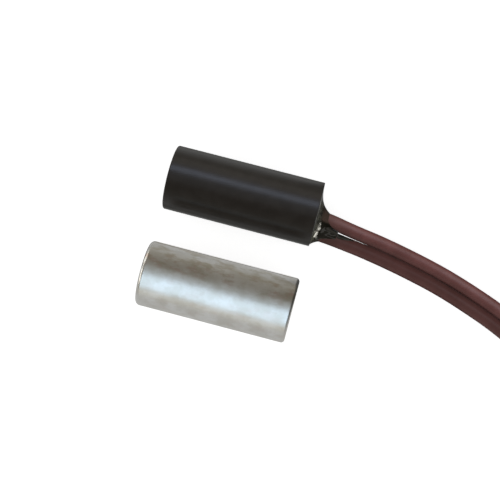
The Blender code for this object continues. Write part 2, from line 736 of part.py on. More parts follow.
def potting_compound(switch, look):
    """Epoxy that fills the housing round the reed switch, open along the two lead channels."""
    lines = [spaced(smooth_line(lead_route(side)), CORD_STEP / 4) for side in (1, -1)]
    potting = loft("potting_compound", potting_rings(lines), look, switch)
    wire_pocket = WIRE_RADIUS + FIT_GAP
    glass_pocket = GLASS_DIAMETER / 2 + FIT_GAP
    pocket = [
        (FRONT_TIP - FIT_GAP, 0.0),
        (FRONT_TIP - FIT_GAP, wire_pocket),
        (GLASS_FRONT - FIT_GAP, wire_pocket),
        (GLASS_FRONT - FIT_GAP, glass_pocket),
        (GLASS_REAR + FIT_GAP, glass_pocket),
        (GLASS_REAR + FIT_GAP, wire_pocket),
        (REAR_TIP + FIT_GAP, wire_pocket),
        (REAR_TIP + FIT_GAP, 0.0),
    ]
    reed_pocket = turned("reed_pocket_cutter", pocket, None, switch, GLASS_SEGMENTS)
    reed_pocket.location = (0, REED_Y, 0)
    cutters = [reed_pocket]
    for name, tip, towards in (("front", FRONT_TIP, 1), ("rear", REAR_TIP, -1)):
        middle = joint_middle(tip, towards)
        cutters.append(joint_shape(name + "_joint_cutter", middle, FIT_GAP, switch))
    for name, points in (("a", lead_a_core_points()), ("b", lead_b_core_points())):
        away = (points[0] - points[1]).normalized() * FIT_GAP
        pocket_line = [points[0] + away, *points[1:]]
        pocket_radius = CORE_RADIUS + FIT_GAP
        cutters.append(tube("core_%s_cutter" % name, pocket_line, pocket_radius, WIRE_SIDES, None, switch))
    for name, line in zip("ab", lines):
        channel = [p for p in line if p.x < RIM_X + RUN_REACH + LEAD_DIAMETER]
        channel[0] = channel[0] - Vector((2 * FIT_GAP, 0, 0))
        cutters.append(tube("channel_%s_cutter" % name, channel, LEAD_RADIUS + FIT_GAP, CHANNEL_SIDES))
    cut(potting, cutters)
    return potting


def main():
    clear_scene()
    switch = empty("switch_axis", (FRONT_X, SWITCH_Y, SWITCH_Z))
    magnet = empty("magnet_axis", (FRONT_X, MAGNET_Y, MAGNET_Z))
    bpy.context.view_layer.update()

    black = material("black_plastic", (0.022, 0.019, 0.016), 0.42)
    epoxy = material("dark_epoxy", (0.020, 0.024, 0.012), 0.12)
    glass = material("green_glass", (0.62, 0.74, 0.66), 0.03, transmission=1.0)
    nickel_iron = material("nickel_iron", (0.60, 0.58, 0.54), 0.28, 1.0)
    solder = material("solder", (0.70, 0.70, 0.72), 0.30, 1.0)
    tinned = material("tinned_copper", (0.76, 0.72, 0.66), 0.32, 1.0)
    brown = material("brown_pvc", (0.125, 0.050, 0.045), 0.38)
    magnet_metal = material("magnet_metal", (0.62, 0.61, 0.58), 0.34, 1.0)

    switch_housing(switch, black)
    magnet_rod(magnet, magnet_metal)
    glass_envelope(switch, glass)
    reed("front_reed", FRONT_TIP, 1, -1, switch, nickel_iron)
    reed("rear_reed", REAR_TIP, -1, 1, switch, nickel_iron)
    solder_joint("front_solder_joint", joint_middle(FRONT_TIP, 1), switch, solder)
    solder_joint("rear_solder_joint", joint_middle(REAR_TIP, -1), switch, solder)
    tube("lead_a_core", lead_a_core_points(), CORE_RADIUS, WIRE_SIDES, tinned, switch)
    tube("lead_b_core", lead_b_core_points(), CORE_RADIUS, WIRE_SIDES, tinned, switch)
    potting_compound(switch, epoxy)
    lead("lead_a", 1, brown)
    lead("lead_b", -1, brown)
    lead_coil(brown)
    lead_tail("a", 1, brown, tinned)
    lead_tail("b", -1, brown, tinned)


main()
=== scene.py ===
"""Looks of a recessed magnetic contact: the potted reed switch, its two leads and the bare rod magnet."""

import math

import bmesh
import bpy
from mathutils import Matrix, Vector


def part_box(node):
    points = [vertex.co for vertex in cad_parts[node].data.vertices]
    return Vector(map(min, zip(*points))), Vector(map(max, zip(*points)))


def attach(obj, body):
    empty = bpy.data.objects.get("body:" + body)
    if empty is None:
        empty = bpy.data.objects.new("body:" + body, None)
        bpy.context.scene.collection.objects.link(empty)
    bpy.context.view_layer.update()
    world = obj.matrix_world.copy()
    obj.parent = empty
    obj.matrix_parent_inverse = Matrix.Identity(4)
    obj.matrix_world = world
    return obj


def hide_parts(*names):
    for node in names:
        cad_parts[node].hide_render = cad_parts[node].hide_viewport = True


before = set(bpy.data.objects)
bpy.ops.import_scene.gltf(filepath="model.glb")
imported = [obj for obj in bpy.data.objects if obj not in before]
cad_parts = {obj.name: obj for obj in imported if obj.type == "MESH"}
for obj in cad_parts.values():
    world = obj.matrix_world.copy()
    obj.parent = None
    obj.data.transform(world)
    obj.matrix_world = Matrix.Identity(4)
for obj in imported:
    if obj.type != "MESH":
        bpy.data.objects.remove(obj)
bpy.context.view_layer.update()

# The two barrels, from the frame
HOUSING_LOW, HOUSING_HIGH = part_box("switch_housing")
MAGNET_LOW, MAGNET_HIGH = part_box("magnet")
SWITCH_AXIS = (HOUSING_LOW + HOUSING_HIGH) / 2
MAGNET_AXIS = (MAGNET_LOW + MAGNET_HIGH) / 2
FRONT_X = HOUSING_LOW.x
RIM_X = HOUSING_HIGH.x
HOUSING_RADIUS = SWITCH_AXIS.z
MAGNET_RADIUS = MAGNET_AXIS.z

# Details of the barrels
HOUSING_WALL = 0.0005
HOUSING_FRONT_WALL = 0.0010
HOUSING_FRONT_EDGE = 0.00025
HOUSING_RIM_EDGE = 0.00008
BORE_CORNER = 0.0004
MOUTH_DEPTH = 0.0006
MOUTH_LIP = 0.0002
MAGNET_FRONT_EDGE = 0.00062
MAGNET_REAR_EDGE = 0.00050
EPOXY_GAP = 0.00002

# Leads
LEAD_DIAMETER = 0.00205
LEAD_RADIUS = LEAD_DIAMETER / 2
TOUCHING_GROWTH = 0.0000312
TOUCHING_FROM = (0.0068, 0.0104)
TOUCHING_TO = (0.0330, 0.0370)

# Stripped ends: the bare strands, laid round one in the middle, and the insulation's end round them
STRIPPED_LENGTH = 0.0060
CORE_DIAMETER = 0.00076
STRAND_COUNT = 6
STRAND_RADIUS = 0.98 * CORE_DIAMETER / 6
STRAND_LAY_RADIUS = 0.99 * CORE_DIAMETER / 3
STRAND_PITCH = 0.0075
SLEEVE_BORE_RADIUS = CORE_DIAMETER / 2 + 0.00003
SLEEVE_BORE_DEPTH = 0.0008
SLEEVE_EDGE = 0.00012
STRAND_FOOT = 0.0001 - SLEEVE_BORE_DEPTH

# Where the leads start inside the housing, from its front face and from the switch axis
LEAD_A_START = 0.0184
LEAD_B_START = 0.0063
LEAD_A_Y = -0.0002
LEAD_B_Y = -0.0021
STRAIGHT_SHARE = 0.45
BEND_SHARE = 0.72
BEND_ACROSS_SHARE = 0.3

# The middle of the two leads outside the housing: distance past the rear rim, distance from the switch
# axis towards +Y, how far it has sunk from the axis to the floor, and the open gap between the leads
PAIR_ROUTE = [
    (0.0000, -0.00146, 0.00, 0.00042),
    (0.0024, -0.00170, 0.00, 0.00030),
    (0.0048, -0.00202, 0.05, 0.00013),
    (0.0098, -0.00257, 0.31, 0.00005),
    (0.0150, -0.00330, 0.67, 0.00005),
    (0.0200, -0.00430, 0.94, 0.00005),
    (0.0248, -0.00580, 1.00, 0.00005),
    (0.0297, -0.00770, 1.00, 0.00005),
    (0.0340, -0.00990, 1.00, 0.00005),
]

# The coil of spare lead
COIL_CENTRE = Vector((RIM_X + 0.0480, SWITCH_AXIS.y - 0.0019, 0.0))
COIL_START_RADIUS = 7.25 * LEAD_DIAMETER
COIL_START_ANGLE = math.radians(-132.0)
COIL_TURNS_IN = 1.85
COIL_TURNS_OUT = 1.414
COIL_STEPS_A_TURN = 24
CLIMB_TURNS = 0.17
PAIR_PITCH = 2 * LEAD_DIAMETER
TAIL_FLAT = 0.0115
TAIL_FALL = 0.0075
TAIL_END = 0.0022

# Potting compound where it shows: the meniscus, the web that sinks between the leads but stays high over
# lead B, and the run of resin that goes on along the flank of lead B. Angles go from +Y towards +Z, and
# the climb grows from lead B's height to lead A's between two shares of the way across, -1 to 1
MENISCUS_HEIGHT_A = 0.00164
MENISCUS_HEIGHT_B = 0.00100
MENISCUS_REACH = 0.0010
MENISCUS_FILM = 0.00005
MENISCUS_RINGS = 30
MENISCUS_CROWDING = 1.6
CLIMB_SHARES = (-0.95, 0.25)
WEB_STEP = 0.0001
WEB_REACH = 0.0034
WEB_TOP_DEPTH = 0.00003
WEB_BOTTOM_DEPTH = 0.00077
WEB_FALL_POWER = 1.5
WEB_RISE = (math.radians(65), math.radians(118))
WEB_FALL = math.radians(13)
WEB_EDGES = (math.radians(170), math.radians(147))
WEB_RINGS = 18
RUN_START = 0.0036
RUN_REACH = 0.0061
RUN_ANGLE = math.radians(50)
RUN_HALF_WIDTH = 0.00062
RUN_SINK = 0.0003
RUN_END_HALF_WIDTH = 0.000215
RUN_FILM_SHARE = 0.4
RUN_RINGS = 18

# Pieces that the resin holds out of sight. They stay as the frame has them, with a better finish
HIDDEN_NODES = [
    "glass_envelope",
    "front_reed",
    "rear_reed",
    "front_solder_joint",
    "rear_solder_joint",
    "lead_a_core",
    "lead_b_core",
]

# Fineness of the meshes
BARREL_SIDES = 192
LEAD_SIDES = 28
STRAND_SIDES = 10
STRAND_STEPS = 26
SLEEVE_EDGE_STEPS = 4
LEAD_STEP = 0.0006
CURVE_STEPS = 16
SHARP_ANGLE = math.radians(35)

# Camera: turned about Z, raised above the floor, and the point that it looks from, in metres along its
# own right, up and back axes from the middle of the barrels
CAMERA_TURN = math.radians(14.85)
CAMERA_RISE = math.radians(79.0)
CAMERA_LENS = 82.58
CAMERA_RIGHT = 0.00277
CAMERA_UP = -0.00007
CAMERA_DISTANCE = 0.1656
AIM_HEIGHT = 0.00474

# Floor: its glow to the camera, and the grey that shining pieces mirror in its place. That grey is shaded
# in two bands along the barrels, each given by where it begins and where it ends, and under the leads
FLOOR_SIZE = 3.0
FLOOR_GLOW = 0.78
FLOOR_MIRRORED = 0.60
BAND_SHADE = 0.57
BAND_BESIDE_SWITCH = ((-0.0048, -0.0030), (0.0010, 0.0026))
BAND_BEHIND_SWITCH = ((0.0140, 0.0155), (0.0195, 0.0210))
LEADS_SHADE = 0.85
LEADS_SHADE_PAST_RIM = (-0.0005, 0.0025)
LEADS_SHADE_ACROSS = (-0.0030, -0.0005)

# About how far the windows and the end lamps stand from the middle of the floor
WINDOW_DISTANCE = 0.30

# Lamps before the sensing faces that the magnet's front edge mirrors: name, direction, width, height and
# brightness
END_LAMPS = [
    ("magnet_end_lamp", Vector((-0.78, 0.50, 0.28)), 0.18, 0.16, 1.25),
    ("magnet_end_low_lamp", Vector((-0.93, -0.22, 0.30)), 0.20, 0.15, 1.60),
]
END_LAMP_COLOUR = (1.0, 0.99, 0.96)

# Small lamps behind the leads that the resin mirrors: name, place from the switch axis towards +Y, height
# of the middle, width and brightness
EXIT_LAMPS_PAST_RIM = 0.0125
EXIT_LAMP_HEIGHT = 0.0076
EXIT_LAMPS = [
    ("exit_far_lamp", -0.0018, 0.0042, 0.0009, 3.5),
    ("exit_lamp", -0.0045, 0.0036, 0.0030, 10.0),
    ("exit_near_lamp", -0.0085, 0.0027, 0.0030, 2.2),
]
EXIT_LAMP_COLOUR = (1.0, 0.97, 0.86)


class Value:
    """A shader value that adds Math nodes when it is used in a sum."""

    def __init__(self, finish, socket):
        self.finish = finish
        self.socket = socket

    def maths(self, operation, first, second):
        return self.finish.node("ShaderNodeMath", {"operation": operation}, {0: first, 1: second})

    def __add__(self, other):
        return self.maths("ADD", self, other)

    def __radd__(self, other):
        return self.maths("ADD", other, self)

    def __sub__(self, other):
        return self.maths("SUBTRACT", self, other)

    def __rsub__(self, other):
        return self.maths("SUBTRACT", other, self)

    def __mul__(self, other):
        return self.maths("MULTIPLY", self, other)

    def __rmul__(self, other):
        return self.maths("MULTIPLY", other, self)


class Finish:
    """A procedural material, worked out in millimetres of the object's own frame."""

    def __init__(self, name, tree=None):
        if tree is None:
            self.material = bpy.data.materials.new(name)
            self.material.use_nodes = True
            tree = self.material.node_tree
        self.tree = tree
        self.tree.nodes.clear()

    def node(self, kind, settings, inputs, output=0):
        """Adds a node: its settings first, then the values or links of its sockets."""
        made = self.tree.nodes.new(kind)
        for name, value in settings.items():
            setattr(made, name, value)
        for name, value in inputs.items():
            self.feed(made.inputs[name], value)
        return Value(self, made.outputs[output]) if len(made.outputs) else made

    def feed(self, socket, value):
        if isinstance(value, Value):
            self.tree.links.new(value.socket, socket)
        elif socket.type == "RGBA":
            socket.default_value = (*value, 1.0)
        else:
            socket.default_value = value

    def place(self, along=1.0, across=1.0):
        """The object's own coordinates in millimetres, stretched along or across the barrels."""
        coordinates = self.node("ShaderNodeTexCoord", {}, {}, "Object")
        scale = (1000 * along, 1000 * across, 1000 * across)
        return self.node("ShaderNodeVectorMath", {"operation": "MULTIPLY"}, {0: coordinates, 1: scale})

    def part(self, vector, axis):
        return self.node("ShaderNodeSeparateXYZ", {}, {0: vector}, axis)

    def past(self, place, axis, level):
        """How many millimetres a place lies past a level, which is in metres, along an axis."""
        return self.part(place, axis) - 1000 * level

    def noise(self, place, scale, detail=2.0, roughness=0.5):
        sockets = {"Vector": place, "Scale": scale, "Detail": detail, "Roughness": roughness}
        return self.node("ShaderNodeTexNoise", {"noise_dimensions": "3D"}, sockets)

    def ease(self, value, low, high):
        """0 below low, 1 above high and a smooth step between them."""
        settings = {"interpolation_type": "SMOOTHSTEP"}
        return self.node("ShaderNodeMapRange", settings, {0: value, 1: low, 2: high, 3: 0.0, 4: 1.0})

    def band(self, value, begin, end):
        """1 in a band that comes in smoothly over one stretch and goes out over another."""
        return self.ease(value, *begin) * (1.0 - self.ease(value, *end))

    def mix(self, first, second, share):
        return self.node("ShaderNodeMix", {"data_type": "RGBA"}, {0: share, 6: first, 7: second}, 2)

    def bump(self, height, depth):
        """Relief of so many metres from a height between 0 and 1."""
        return self.node("ShaderNodeBump", {}, {"Height": height, "Distance": depth, "Strength": 1.0})

    def surface(self, **values):
        sockets = {name.replace("_", " "): value for name, value in values.items()}
        shader = self.node("ShaderNodeBsdfPrincipled", {}, sockets)
        self.node("ShaderNodeOutputMaterial", {}, {"Surface": shader})
        return self.material


def moulded_black():
    """Satin warm black plastic with faint draw marks and a fine grain."""
    look = Finish("moulded_black")
    near = look.place()
    drawn = look.noise(look.place(along=0.10), 2.6, 4.0)
    mottle = look.noise(near, 0.55, 3.0)
    grain = look.noise(near, 11.0, 2.0)
    base = look.mix((0.0096, 0.0066, 0.0048), (0.0136, 0.0102, 0.0080), look.ease(mottle, 0.38, 0.66))
    relief = 0.6 * grain + 0.4 * drawn
    return look.surface(
        Base_Color=base,
        Roughness=0.25 + 0.10 * drawn,
        Normal=look.bump(relief, 0.000012),
    )


def dark_epoxy():
    """Glossy dark olive resin with a slow ripple and a few small bubbles, paler in mottled patches within
    about a millimetre past the rim, and browner where it covers lead A."""
    look = Finish("dark_epoxy")
    near = look.place()
    cloud = look.noise(near, 0.9, 3.0)
    ripple = look.noise(near, 0.7, 1.0)
    bubbles = look.node("ShaderNodeTexVoronoi", {}, {"Vector": near, "Scale": 2.4, "Randomness": 1.0})
    bubble = 1.0 - look.ease(bubbles, 0.10, 0.17)
    mottle = look.noise(near, 1.9, 3.0)
    past_rim = look.past(near, "X", RIM_X)
    across = look.past(near, "Y", SWITCH_AXIS.y)
    # Paler in mottled patches within about a millimetre past the rim
    thin = (1.0 - look.ease(past_rim, 0.25, 1.1)) * look.ease(mottle, 0.32, 0.62)
    over_lead = look.ease(past_rim, 0.45, 1.2) * look.band(across, (-1.3, -0.8), (0.5, 1.0))
    deep = look.mix((0.0054, 0.0049, 0.0030), (0.0130, 0.0119, 0.0085), look.ease(cloud, 0.35, 0.7))
    bubbly = look.mix(deep, (0.05, 0.052, 0.032), 0.5 * bubble)
    edged = look.mix(bubbly, (0.066, 0.065, 0.050), 0.85 * thin)
    base = look.mix(edged, (0.078, 0.052, 0.042), 0.8 * over_lead)
    return look.surface(
        Base_Color=base,
        Roughness=0.09 + 0.08 * cloud,
        Normal=look.bump(ripple, 0.00022),
        Specular_IOR_Level=0.45,
    )


def brown_pvc():
    """Reddish brown PVC insulation, satin, with a slightly uneven skin. Its first millimetres past the rim
    are rougher and darker, the darkening a painted shade that dims the lead's highlight there."""
    look = Finish("brown_pvc")
    near = look.place()
    tone = look.noise(near, 0.35, 3.0)
    unevenness = look.noise(near, 2.2, 3.0)
    grain = look.noise(near, 16.0, 2.0)
    clean = look.mix((0.088, 0.0240, 0.0205), (0.116, 0.0355, 0.0315), look.ease(tone, 0.3, 0.7))
    # Painted shade: over the first millimetres past the rim the base is darkened to dim the lead's
    # highlight, and the roughness rises there too
    rim_shade_and_dulling = 1.0 - look.ease(look.past(near, "X", RIM_X), 1.6, 6.0)
    base = look.mix(clean, (0.070, 0.027, 0.020), 0.6 * rim_shade_and_dulling)
    return look.surface(
        Base_Color=base,
        Roughness=0.40 + 0.12 * unevenness + 0.18 * rim_shade_and_dulling,
        Normal=look.bump(0.7 * unevenness + 0.3 * grain, 0.00003),
    )


def magnet_alloy():
    """Silvery alloy, ground round its barrel and worn bright at its front edge, with blotches of warmer,
    darker metal, most of them on the side that faces the switch. They are partly tarnished metal and partly
    a painted reflection of a dark band of the room."""
    look = Finish("magnet_alloy")
    near = look.place()
    ground = look.noise(look.place(along=9.0, across=0.5), 1.0, 3.0, 0.65)
    blotch = look.noise(near, 0.42, 4.0, 0.6)
    stain_and_reflection_noise = look.noise(look.place(along=0.45), 0.8, 4.0, 0.6)
    pits = look.noise(near, 5.0, 3.0, 0.6)
    patches = look.noise(look.place(along=0.7), 1.3, 3.0, 0.6)
    across = look.past(near, "Y", MAGNET_AXIS.y)
    # Partly painted reflection: the warmer, darker patches towards the switch side stand both for tarnished
    # metal and for the dark band of the room that the barrel mirrors above its highlight
    warm_patches_and_reflection = look.ease(patches, 0.40, 0.60) * (1.0 - 0.8 * look.ease(across, 1.7, 3.1))
    tarnish_and_reflection = (0.25 + 0.65 * look.ease(across, -0.6, 1.6)) * look.ease(stain_and_reflection_noise, 0.43, 0.64)
    worn = 1.0 - look.ease(look.past(near, "X", MAGNET_LOW.x), 0.40, 0.75)
    clean = look.mix((0.600, 0.590, 0.560), (0.700, 0.700, 0.690), look.ease(blotch, 0.35, 0.65))
    tarnish_and_reflection_colour = look.mix((0.480, 0.455, 0.385), (0.505, 0.415, 0.370), warm_patches_and_reflection)
    base = look.mix(clean, tarnish_and_reflection_colour, tarnish_and_reflection)
    return look.surface(
        Base_Color=base,
        Metallic=1.0,
        Roughness=0.25 + 0.10 * blotch + 0.10 * ground - 0.14 * worn,
        Normal=look.bump(0.6 * ground + 0.4 * pits, 0.00002),
    )


def tinned_copper():
    """Bright tin over copper strands, with a little of the copper showing through."""
    look = Finish("tinned_copper")
    near = look.place()
    worn = look.noise(near, 2.5, 4.0)
    drawn = look.noise(near, 22.0, 2.0)
    base = look.mix((0.70, 0.68, 0.63), (0.66, 0.46, 0.30), 0.6 * look.ease(worn, 0.58, 0.78))
    return look.surface(
        Base_Color=base,
        Metallic=1.0,
        Roughness=0.22 + 0.16 * drawn,
        Normal=look.bump(drawn, 0.000006),
    )


def reed_metal():
    """Nickel-iron wire with fine lines along its length."""
    look = Finish("reed_metal")
    lines = look.noise(look.place(along=0.4, across=8.0), 2.0, 3.0)
    base = look.mix((0.52, 0.50, 0.46), (0.64, 0.62, 0.58), lines)
    return look.surface(Base_Color=base, Metallic=1.0, Roughness=0.20 + 0.18 * lines)


def bright_solder():
    """Solder, frozen with a slightly wavy skin."""
    look = Finish("bright_solder")
    wave = look.noise(look.place(), 2.4, 2.0)
    base = look.mix((0.62, 0.62, 0.63), (0.74, 0.74, 0.75), wave)
    return look.surface(
        Base_Color=base,
        Metallic=1.0,
        Roughness=0.18 + 0.2 * wave,
        Normal=look.bump(wave, 0.00005),
    )


def green_glass():
    """The pale green glass of a reed switch."""
    look = Finish("green_glass")
    seeds = look.noise(look.place(), 3.0, 2.0)
    base = look.mix((0.66, 0.80, 0.70), (0.74, 0.86, 0.78), seeds)
    return look.surface(Base_Color=base, Roughness=0.02 + 0.04 * seeds, Transmission_Weight=1.0, IOR=1.5)


def finish_mesh(name, bm):
    """Turns a bmesh into an object, smooth but for its sharp edges."""
    bmesh.ops.recalc_face_normals(bm, faces=bm.faces)
    mesh = bpy.data.meshes.new(name)
    bm.to_mesh(mesh)
    bm.free()
    mesh.shade_smooth()
    mesh.set_sharp_from_angle(angle=SHARP_ANGLE)
    made = bpy.data.objects.new(name, mesh)
    bpy.context.scene.collection.objects.link(made)
    return made


def skin(name, rings):
    """A closed surface through rings of points. A ring of one point is a pole, and other ends get caps."""
    bm = bmesh.new()
    rows = [[bm.verts.new(point) for point in ring] for ring in rings]
    for near, far in zip(rows, rows[1:]):
        count = max(len(near), len(far))
        for i in range(count):
            j = (i + 1) % count
            if len(near) == 1:
                bm.faces.new((near[0], far[j], far[i]))
            elif len(far) == 1:
                bm.faces.new((near[i], near[j], far[0]))
            else:
                bm.faces.new((near[i], near[j], far[j], far[i]))
    for row in (rows[0], rows[-1]):
        if len(row) > 1:
            bm.faces.new(row)
    return finish_mesh(name, bm)


def arc(centre_x, centre_r, radius, start, end, steps):
    """Points (x, r) of a round edge, from one angle in degrees to another."""
    found = []
    for i in range(steps + 1):
        angle = math.radians(start + (end - start) * i / steps)
        found.append((centre_x + radius * math.cos(angle), centre_r + radius * math.sin(angle)))
    return found


def turned(name, profile, axis_point):
    """A profile of (x, radius) points turned about a line along X."""
    rings = []
    for x, radius in profile:
        if radius == 0.0:
            rings.append([(x, axis_point.y, axis_point.z)])
            continue
        ring = []
        for i in range(BARREL_SIDES):
            angle = 2 * math.pi * i / BARREL_SIDES
            y = axis_point.y + radius * math.cos(angle)
            z = axis_point.z + radius * math.sin(angle)
            ring.append((x, y, z))
        rings.append(ring)
    return skin(name, rings)


def housing_shell():
    """The moulded cup: closed sensing face, soft front edge, crisp rear lip with its lead-in chamfer."""
    bore = HOUSING_RADIUS - HOUSING_WALL
    mouth = HOUSING_RADIUS - MOUTH_LIP
    inner_front = FRONT_X + HOUSING_FRONT_WALL
    front, rim = HOUSING_FRONT_EDGE, HOUSING_RIM_EDGE
    profile = [(FRONT_X, 0.0)]
    profile += arc(FRONT_X + front, HOUSING_RADIUS - front, front, 180, 90, 8)
    profile += arc(RIM_X - rim, HOUSING_RADIUS - rim, rim, 90, 0, 5)
    profile += [(RIM_X, mouth), (RIM_X - MOUTH_DEPTH, bore)]
    profile += arc(inner_front + BORE_CORNER, bore - BORE_CORNER, BORE_CORNER, 90, 180, 5)
    profile += [(inner_front, 0.0)]
    return turned("housing_shell", profile, SWITCH_AXIS)


def magnet_rod():
    """The bare rod with rounded edges at both ends."""
    low, high = MAGNET_LOW.x, MAGNET_HIGH.x
    front, rear = MAGNET_FRONT_EDGE, MAGNET_REAR_EDGE
    profile = [(low, 0.0)]
    profile += arc(low + front, MAGNET_RADIUS - front, front, 180, 90, 12)
    profile += arc(high - rear, MAGNET_RADIUS - rear, rear, 90, 0, 12)
    profile += [(high, 0.0)]
    return turned("magnet_rod", profile, MAGNET_AXIS)


def smooth_line(points):
    """Close points along a smooth curve through a route's own points."""
    route = [Vector(p) for p in points]
    route = [2 * route[0] - route[1], *route, 2 * route[-1] - route[-2]]
    line = []
    for p0, p1, p2, p3 in zip(route, route[1:], route[2:], route[3:]):
        t1 = math.sqrt((p1 - p0).length)
        t2 = t1 + math.sqrt((p2 - p1).length)
        t3 = t2 + math.sqrt((p3 - p2).length)
        for i in range(CURVE_STEPS):
            t = t1 + (t2 - t1) * i / CURVE_STEPS
            a1 = p0 * ((t1 - t) / t1) + p1 * (t / t1)
            a2 = p1 * ((t2 - t) / (t2 - t1)) + p2 * ((t - t1) / (t2 - t1))
            a3 = p2 * ((t3 - t) / (t3 - t2)) + p3 * ((t - t2) / (t3 - t2))
            b1 = a1 * ((t2 - t) / t2) + a2 * (t / t2)
            b2 = a2 * ((t3 - t) / (t3 - t1)) + a3 * ((t - t1) / (t3 - t1))
            line.append(b1 * ((t2 - t) / (t2 - t1)) + b2 * ((t - t1) / (t2 - t1)))
    line.append(route[-2])
    return line


def spaced(line, step):
    """Points about a step apart along a line of close points."""
    lengths = [0.0]
    for near, far in zip(line, line[1:]):
        lengths.append(lengths[-1] + (far - near).length)
    count = max(2, round(lengths[-1] / step))
    found = []
    k = 0
    for i in range(count + 1):
        wanted = lengths[-1] * i / count
        while k < len(lengths) - 2 and lengths[k + 1] < wanted:
            k += 1
        part = (wanted - lengths[k]) / (lengths[k + 1] - lengths[k])
        found.append(line[k].lerp(line[k + 1], min(part, 1.0)))
    return found


def frames_along(points):
    """At each point of a line, the way ahead and two directions square to it that don't twist."""
    found = []
    side = None
    for i, point in enumerate(points):
        ahead = (points[min(i + 1, len(points) - 1)] - points[max(i - 1, 0)]).normalized()
        if side is None:
            side = Vector((0, 0, 1)).cross(ahead)
        side = (side - ahead * side.dot(ahead)).normalized()
        found.append((point, ahead, side, ahead.cross(side)))
    return found


def ring_at(step, radius, sides, back=0.0):
    """The points of a ring square to a line at one of its steps, or a little way back from it."""
    point, ahead, side, up = step
    centre = point - ahead * back
    ring = []
    for i in range(sides):
        angle = 2 * math.pi * (i + 0.5) / sides
        beside = centre + side * (radius * math.cos(angle))
        ring.append(beside + up * (radius * math.sin(angle)))
    return ring


def rod(name, points, radius, sides):
    """A plain round rod with flat ends."""
    return skin(name, [ring_at(step, radius, sides) for step in frames_along(points)])


def skin_radius(x):
    """The insulation is a hair fuller where the two leads lie side by side, so that they touch there."""
    past = x - RIM_X
    near = smooth_step((past - TOUCHING_FROM[0]) / (TOUCHING_FROM[1] - TOUCHING_FROM[0]))
    far = smooth_step((TOUCHING_TO[1] - past) / (TOUCHING_TO[1] - TOUCHING_TO[0]))
    return LEAD_RADIUS + TOUCHING_GROWTH * near * far


def insulated_lead(name, points):
    """A lead's insulation: a round tube whose cut far end shows its wall round the strands."""
    steps = frames_along(points)
    rings = [ring_at(step, skin_radius(step[0].x), LEAD_SIDES) for step in steps[:-1]]
    end = steps[-1]
    for i in range(SLEEVE_EDGE_STEPS + 1):
        turn = math.pi / 2 * i / SLEEVE_EDGE_STEPS
        back = SLEEVE_EDGE * (1 - math.sin(turn))
        rings.append(ring_at(end, LEAD_RADIUS - SLEEVE_EDGE * (1 - math.cos(turn)), LEAD_SIDES, back))
    rings.append(ring_at(end, SLEEVE_BORE_RADIUS, LEAD_SIDES))
    rings.append(ring_at(end, SLEEVE_BORE_RADIUS, LEAD_SIDES, SLEEVE_BORE_DEPTH))
    return skin(name, rings)


def strand_bundle(name, start, ahead):
    """The twisted tinned strands past the end of the insulation: one in the middle and a lay round it."""
    side = Vector((0, 0, 1)).cross(ahead).normalized()
    up = ahead.cross(side)
    reach = STRIPPED_LENGTH - STRAND_FOOT
    bm = bmesh.new()
    for number in range(STRAND_COUNT + 1):
        off_centre = 0.0 if number == 0 else STRAND_LAY_RADIUS
        line = []
        for i in range(STRAND_STEPS + 1):
            along = reach * i / STRAND_STEPS
            angle = 2 * math.pi * (number / STRAND_COUNT + along / STRAND_PITCH)
            spread = side * (off_centre * math.cos(angle)) + up * (off_centre * math.sin(angle))
            line.append(start + ahead * (STRAND_FOOT + along) + spread)
        rows = []
        for step in frames_along(line):
            rows.append([bm.verts.new(point) for point in ring_at(step, STRAND_RADIUS, STRAND_SIDES)])
        for near, far in zip(rows, rows[1:]):
            for i in range(STRAND_SIDES):
                j = (i + 1) % STRAND_SIDES
                bm.faces.new((near[i], near[j], far[j], far[i]))
        bm.faces.new(rows[0])
        bm.faces.new(rows[-1])
    return finish_mesh(name, bm)


def pair_point(step, side):
    """A point on one lead, from a step of the pair's route. side is +1 for lead A and -1 for lead B."""
    past_rim, from_axis, sunk, gap = step
    spread = side * (LEAD_DIAMETER + gap) / 2
    height = SWITCH_AXIS.z + sunk * (LEAD_RADIUS - SWITCH_AXIS.z)
    return Vector((RIM_X + past_rim, SWITCH_AXIS.y + from_axis + spread, height))


def square_pair(side):
    """The pair's route outside the housing for one lead, spread square to the way the pair runs."""
    found = []
    for i, step in enumerate(PAIR_ROUTE):
        before, after = PAIR_ROUTE[max(i - 1, 0)], PAIR_ROUTE[min(i + 1, len(PAIR_ROUTE) - 1)]
        heading = math.atan2(after[1] - before[1], after[0] - before[0])
        middle = (pair_point(step, 1) + pair_point(step, -1)) / 2
        half = (pair_point(step, 1) - pair_point(step, -1)).length / 2
        found.append(middle + side * half * Vector((-math.sin(heading), math.cos(heading), 0)))
    return found


def smooth_step(value):
    value = min(max(value, 0.0), 1.0)
    return value * value * (3 - 2 * value)


def coil_point(turns, side):
    """A point of one lead in the coil. The pair winds in on the floor and out again on top."""
    if turns <= COIL_TURNS_IN:
        radius = COIL_START_RADIUS - PAIR_PITCH * turns
    else:
        radius = COIL_START_RADIUS - PAIR_PITCH * (2 * COIL_TURNS_IN - turns)
    crossed = smooth_step((turns - COIL_TURNS_IN) / CLIMB_TURNS + 1)
    radius += (2 * crossed - 1) * side * LEAD_RADIUS
    start = COIL_TURNS_IN - 2 * CLIMB_TURNS if side > 0 else COIL_TURNS_IN
    height = LEAD_RADIUS + LEAD_DIAMETER * smooth_step((turns - start) / CLIMB_TURNS)
    angle = COIL_START_ANGLE + 2 * math.pi * turns
    return COIL_CENTRE + Vector((radius * math.cos(angle), radius * math.sin(angle), height))


